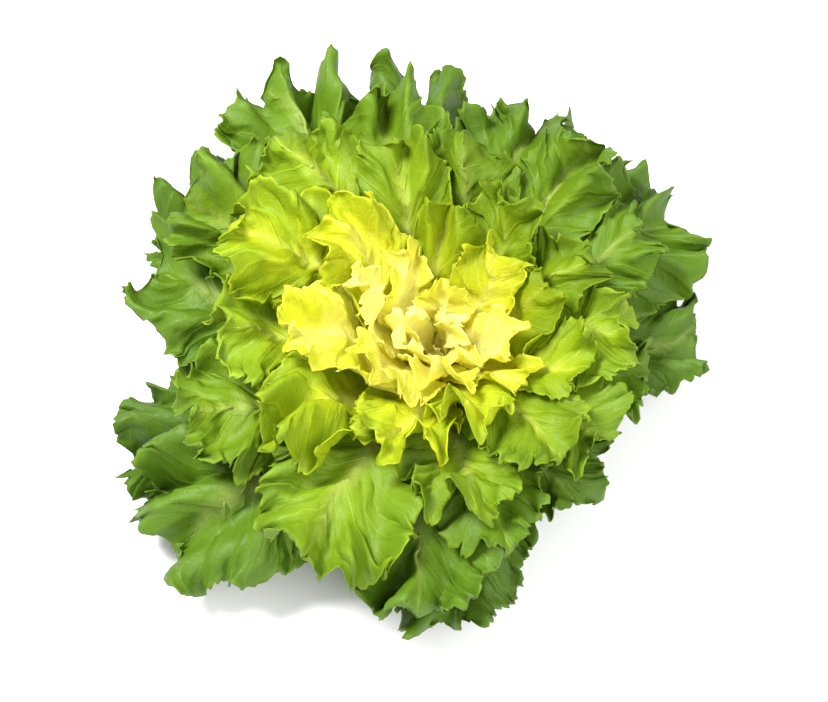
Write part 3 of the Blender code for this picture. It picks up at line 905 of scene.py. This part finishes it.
class StageSettings(bpy.types.PropertyGroup):
    """Floor, light and camera."""

    floor_colour: colour_property("Floor", "Colour of the floor", (0.90, 0.90, 0.90))
    key_power: bpy.props.FloatProperty(
        name="Key light", description="Power of the large lamp at the upper left", default=32.0, min=0.0
    )
    fill_power: bpy.props.FloatProperty(
        name="Fill light", description="Power of the lamp at the right", default=22.0, min=0.0
    )
    sky: bpy.props.FloatProperty(
        name="Surroundings", description="Strength of the white surroundings", default=0.60, min=0.0
    )
    elevation: bpy.props.FloatProperty(
        name="Camera elevation", description="Angle of the camera above the horizon",
        default=math.radians(62.0), subtype="ANGLE", unit="ROTATION",
    )
    distance: bpy.props.FloatProperty(
        name="Camera distance", description="From the camera to the middle of the head",
        default=0.9, min=0.2, subtype="DISTANCE", unit="LENGTH",
    )
    lens: bpy.props.FloatProperty(
        name="Lens", description="Focal length on a 36 mm wide sensor, in millimetres", default=79.0, min=10.0
    )


def make_leaves(context, group):
    """Makes one group's fine leaves, each in place of its solid."""
    sizes = context.scene.escarole_sizes
    colours = context.scene.escarole_colours
    count, rays, rows, veins, see_through = GROUPS[group]
    first = sum(GROUPS[name][0] for name in list(GROUPS)[: list(GROUPS).index(group)])
    finish = leaf_finish(group, colours, sizes.roughness, see_through)
    tree = bpy.data.node_groups.get("Leaf blade") or blade_tree()
    for k in range(count):
        name = f"fine_{group}_{k + 1:02d}"
        mesh = leaf_sheet(name, Leaf(first + k, sizes, veins), rays, rows)
        piece = bpy.data.objects.new(name, mesh)
        context.scene.collection.objects.link(piece)
        apply_tree(
            piece,
            tree,
            {
                "Crumple Height": sizes.crumple_height,
                "Crumple Size": sizes.crumple_size,
                "Buckle Height": sizes.buckle_height,
                "Buckle Size": sizes.buckle_size,
                "Blade Thickness": sizes.blade_thickness,
                "Seed": float(SEED),
                "Material": finish,
            },
        )
        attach(piece, "root")
        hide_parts(f"{group}_{k + 1:02d}")


class ESCAROLE_OT_heart(bpy.types.Operator):
    """Makes the blanched leaves of the heart"""

    bl_idname = "escarole.heart"
    bl_label = "Heart leaves"

    def execute(self, context):
        make_leaves(context, "heart_leaf")
        return {"FINISHED"}


class ESCAROLE_OT_inner(bpy.types.Operator):
    """Makes the inner leaves round the heart"""

    bl_idname = "escarole.inner"
    bl_label = "Inner leaves"

    def execute(self, context):
        make_leaves(context, "inner_leaf")
        return {"FINISHED"}


class ESCAROLE_OT_middle(bpy.types.Operator):
    """Makes the middle leaves"""

    bl_idname = "escarole.middle"
    bl_label = "Middle leaves"

    def execute(self, context):
        make_leaves(context, "middle_leaf")
        return {"FINISHED"}


class ESCAROLE_OT_outer(bpy.types.Operator):
    """Makes the dark outer leaves"""

    bl_idname = "escarole.outer"
    bl_label = "Outer leaves"

    def execute(self, context):
        make_leaves(context, "outer_leaf")
        return {"FINISHED"}


class ESCAROLE_OT_stem(bpy.types.Operator):
    """Gives the cut stem its finish"""

    bl_idname = "escarole.stem"
    bl_label = "Stem"

    def execute(self, context):
        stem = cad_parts["stem"]
        stem.data.materials.clear()
        stem.data.materials.append(stem_finish(context.scene.escarole_stem))
        return {"FINISHED"}


class ESCAROLE_OT_stage(bpy.types.Operator):
    """Lays the floor, hangs the lamps and sets the camera"""

    bl_idname = "escarole.stage"
    bl_label = "Stage"

    def execute(self, context):
        stage = context.scene.escarole_stage
        scene = context.scene
        scene.view_settings.view_transform = "Standard"
        floor_mesh = bpy.data.meshes.new("floor")
        sides = ((-1, -1), (1, -1), (1, 1), (-1, 1))
        corners = [(FLOOR_EDGE * x, FLOOR_EDGE * y, 0.0) for x, y in sides]
        floor_mesh.from_pydata(corners, [], [(0, 1, 2, 3)])
        floor = bpy.data.objects.new("floor", floor_mesh)
        scene.collection.objects.link(floor)
        finish = Finish("floor")
        matt = {"Base Color": (*stage.floor_colour, 1.0), "Roughness": 0.9}
        floor_mesh.materials.append(finish.put_out(finish.node("ShaderNodeBsdfPrincipled", None, matt)))

        target = Vector(TARGET)
        lamps = (
            ("key", KEY_SPOT, stage.key_power, KEY_SIZE),
            ("fill", FILL_SPOT, stage.fill_power, FILL_SIZE),
        )
        for name, spot, power, size in lamps:
            light = bpy.data.lights.new(name, "AREA")
            light.energy = power
            light.size = size
            lamp = bpy.data.objects.new(name, light)
            lamp.location = spot
            lamp.rotation_euler = (target - Vector(spot)).to_track_quat("-Z", "Y").to_euler()
            scene.collection.objects.link(lamp)
        world = bpy.data.worlds.new("studio")
        world.use_nodes = True
        background = world.node_tree.nodes["Background"]
        background.inputs["Color"].default_value = (1.0, 1.0, 1.0, 1.0)
        background.inputs["Strength"].default_value = stage.sky
        scene.world = world

        lens = bpy.data.cameras.new("camera")
        lens.lens = stage.lens
        lens.sensor_width = SENSOR_WIDTH
        camera = bpy.data.objects.new("camera", lens)
        back = Vector((0.0, -math.cos(stage.elevation), math.sin(stage.elevation)))
        camera.location = target + back * stage.distance
        camera.rotation_euler = (-back).to_track_quat("-Z", "Y").to_euler()
        scene.collection.objects.link(camera)
        scene.camera = camera
        return {"FINISHED"}


OPERATORS = (
    ESCAROLE_OT_heart,
    ESCAROLE_OT_inner,
    ESCAROLE_OT_middle,
    ESCAROLE_OT_outer,
    ESCAROLE_OT_stem,
    ESCAROLE_OT_stage,
)


class ESCAROLE_PT_panel(bpy.types.Panel):
    """Settings and operators of the head of escarole"""

    bl_idname = "ESCAROLE_PT_panel"
    bl_label = "Head of Escarole"
    bl_space_type = "VIEW_3D"
    bl_region_type = "UI"
    bl_category = "Escarole"

    def draw(self, context):
        layout = self.layout
        for name in SETTINGS:
            settings = getattr(context.scene, name)
            box = layout.box()
            for key in settings.bl_rna.properties.keys():
                if key not in ("rna_type", "name"):
                    box.prop(settings, key)
        for operator in OPERATORS:
            layout.operator(operator.bl_idname)


SETTINGS = {
    "escarole_sizes": LeafSizes,
    "escarole_colours": LeafColours,
    "escarole_stem": StemColours,
    "escarole_stage": StageSettings,
}
CLASSES = (*SETTINGS.values(), *OPERATORS, ESCAROLE_PT_panel)


def register():
    for each in CLASSES:
        bpy.utils.register_class(each)
    for name, kind in SETTINGS.items():
        setattr(bpy.types.Scene, name, bpy.props.PointerProperty(type=kind))


def unregister():
    for name in SETTINGS:
        delattr(bpy.types.Scene, name)
    for each in reversed(CLASSES):
        bpy.utils.unregister_class(each)


def main():
    register()
    for operator in OPERATORS:
        family, action = operator.bl_idname.split(".")
        getattr(getattr(bpy.ops, family), action)()


if __name__ == "__main__":
    main()
